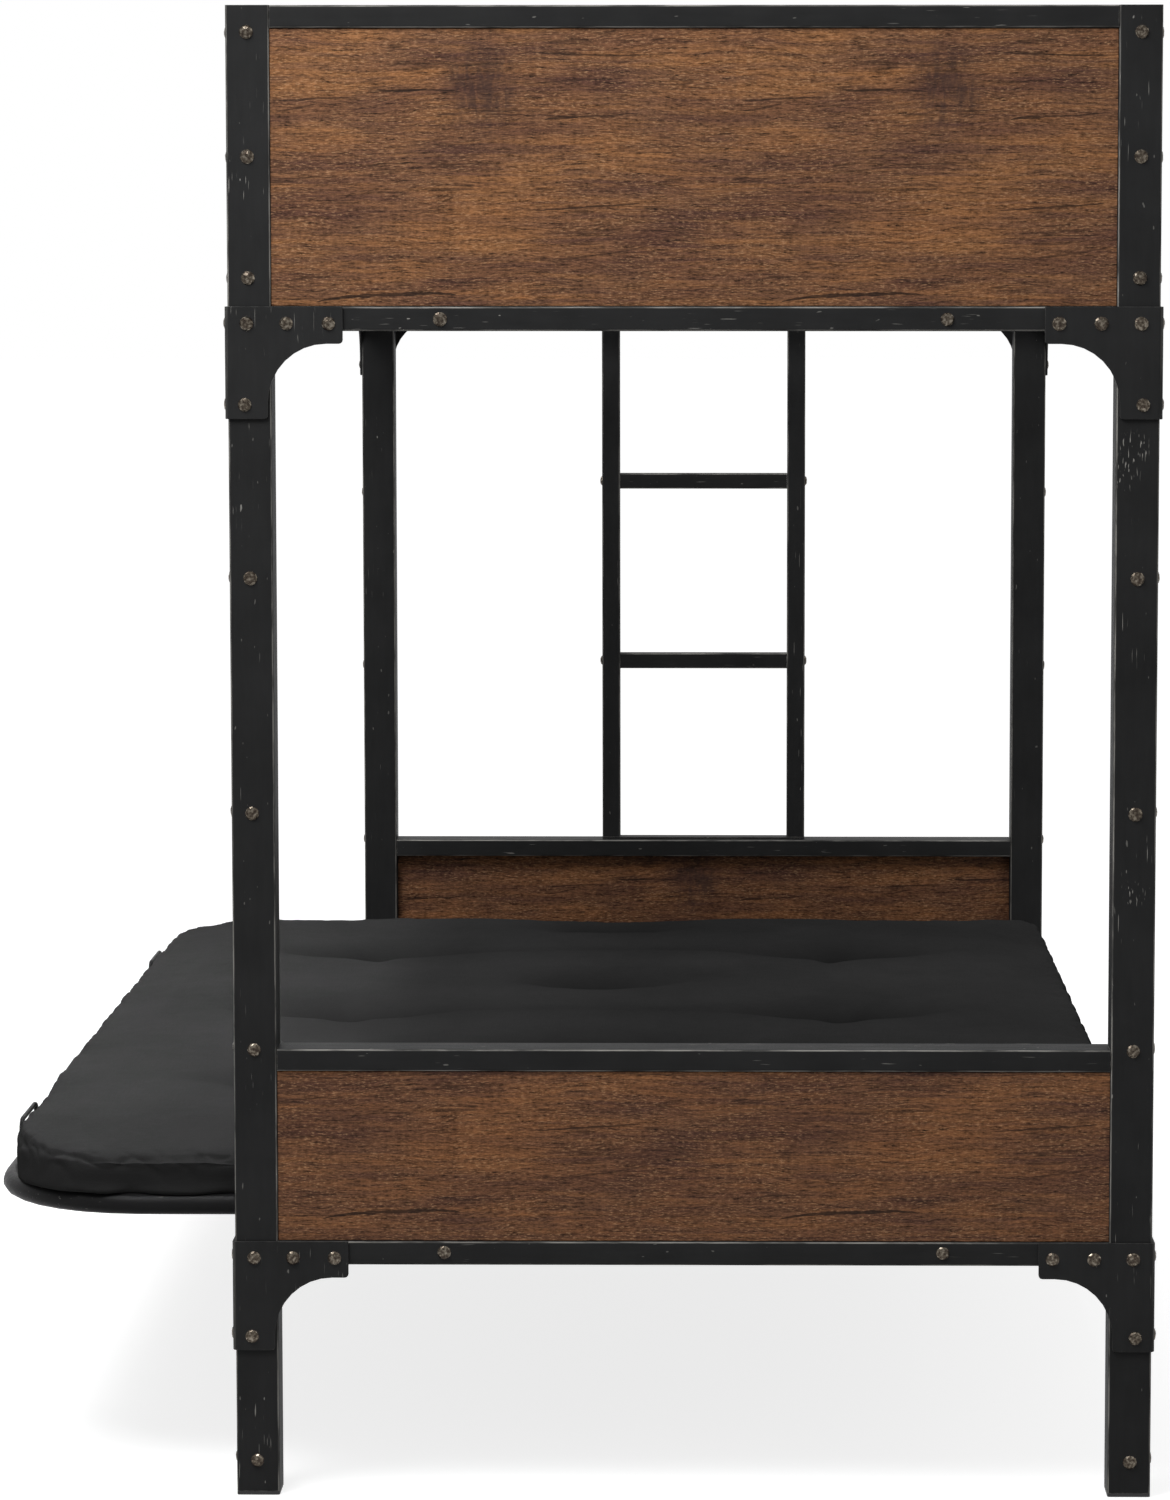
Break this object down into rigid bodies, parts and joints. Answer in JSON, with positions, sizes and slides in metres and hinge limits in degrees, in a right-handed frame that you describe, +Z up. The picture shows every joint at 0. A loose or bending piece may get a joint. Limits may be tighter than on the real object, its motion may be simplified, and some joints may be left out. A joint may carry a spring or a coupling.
{
  "type": "futon bunk bed",
  "caption": "Steel-tube bunk bed with wood end panels, an end ladder and guard rails, over a full-size folding futon that slides and folds into a sofa.",
  "frame": {"origin": "on the floor, in the middle of the bed's outline with the futon laid flat", "axes": "+Z up; X along the bed, the plain end at +X and the ladder end at -X; the futon opens towards -Y"},
  "size_m": [2.0566, 1.3758, 1.7275],
  "materials": {
    "frame_steel": "distressed black powder coat",
    "deck_steel": "satin black powder coat",
    "wood": "rustic dark brown planks with knots and cracks",
    "nylon": "moulded black nylon",
    "zinc": "zinc-plated sheet steel",
    "fabric": "smooth charcoal cover, tufted"
  },
  "bodies": {
    "frame": {"post_near_front": "frame_steel", "foot_near_front": "nylon", "post_near_rear": "frame_steel", "foot_near_rear": "nylon", "post_far_front": "frame_steel", "foot_far_front": "nylon", "post_far_rear": "frame_steel", "foot_far_rear": "nylon", "near_cap_rail": "frame_steel", "near_upper_sill_rail": "frame_steel", "near_lower_cap_rail": "frame_steel", "near_lower_sill_rail": "frame_steel", "near_upper_panel": "wood", "near_lower_panel": "wood", "far_cap_rail": "frame_steel", "far_upper_sill_rail": "frame_steel", "far_lower_cap_rail": "frame_steel", "far_lower_sill_rail": "frame_steel", "far_upper_panel": "wood", "far_lower_panel": "wood", "upper_gusset_near_front": "frame_steel", "upper_gusset_near_rear": "frame_steel", "upper_gusset_far_rear": "frame_steel", "upper_gusset_far_front": "frame_steel", "lower_gusset_near_front": "frame_steel", "lower_gusset_near_rear": "frame_steel", "lower_gusset_far_rear": "frame_steel", "lower_gusset_far_front": "frame_steel", "ladder_foot_plate": "frame_steel", "ladder_stile_front": "frame_steel", "ladder_stile_rear": "frame_steel", "ladder_rung_lower": "frame_steel", "ladder_rung_upper": "frame_steel", "upper_side_rail_front": "frame_steel", "lower_side_rail_front": "frame_steel", "guard_top_rail_front": "frame_steel", "guard_mid_rail_front": "frame_steel", "upper_side_rail_rear": "frame_steel", "lower_side_rail_rear": "frame_steel", "guard_top_rail_rear": "frame_steel", "guard_mid_rail_rear": "frame_steel", "upper_slat_deck": "deck_steel", "futon_guide_near": "zinc", "futon_guide_far": "zinc"},
    "seat": {"seat_frame": "deck_steel", "seat_side_plate_near": "zinc", "seat_glide_near_front": "nylon", "seat_glide_near_rear": "nylon", "hinge_pin_near": "zinc", "seat_side_plate_far": "zinc", "seat_glide_far_front": "nylon", "seat_glide_far_rear": "nylon", "hinge_pin_far": "zinc", "futon_seat": "fabric"},
    "back": {"back_frame": "deck_steel", "back_side_plate_near": "zinc", "cam_pin_near": "zinc", "back_side_plate_far": "zinc", "cam_pin_far": "zinc", "futon_back": "fabric"}
  },
  "joints": [
    {"name": "seat_slide", "type": "slide", "parent": "frame", "child": "seat", "axis": [0, 1, 0], "range_m": [0, 0.33]},
    {"name": "back_fold", "type": "hinge", "parent": "seat", "child": "back", "pos_m": [0, 0.00858, 0.385], "axis": [1, 0, 0], "range_deg": [0, 75]}
  ],
  "couplings": [
    {"joint": "back_fold", "follows": "seat_slide", "rad_per_m": 3.9666}
  ]
}
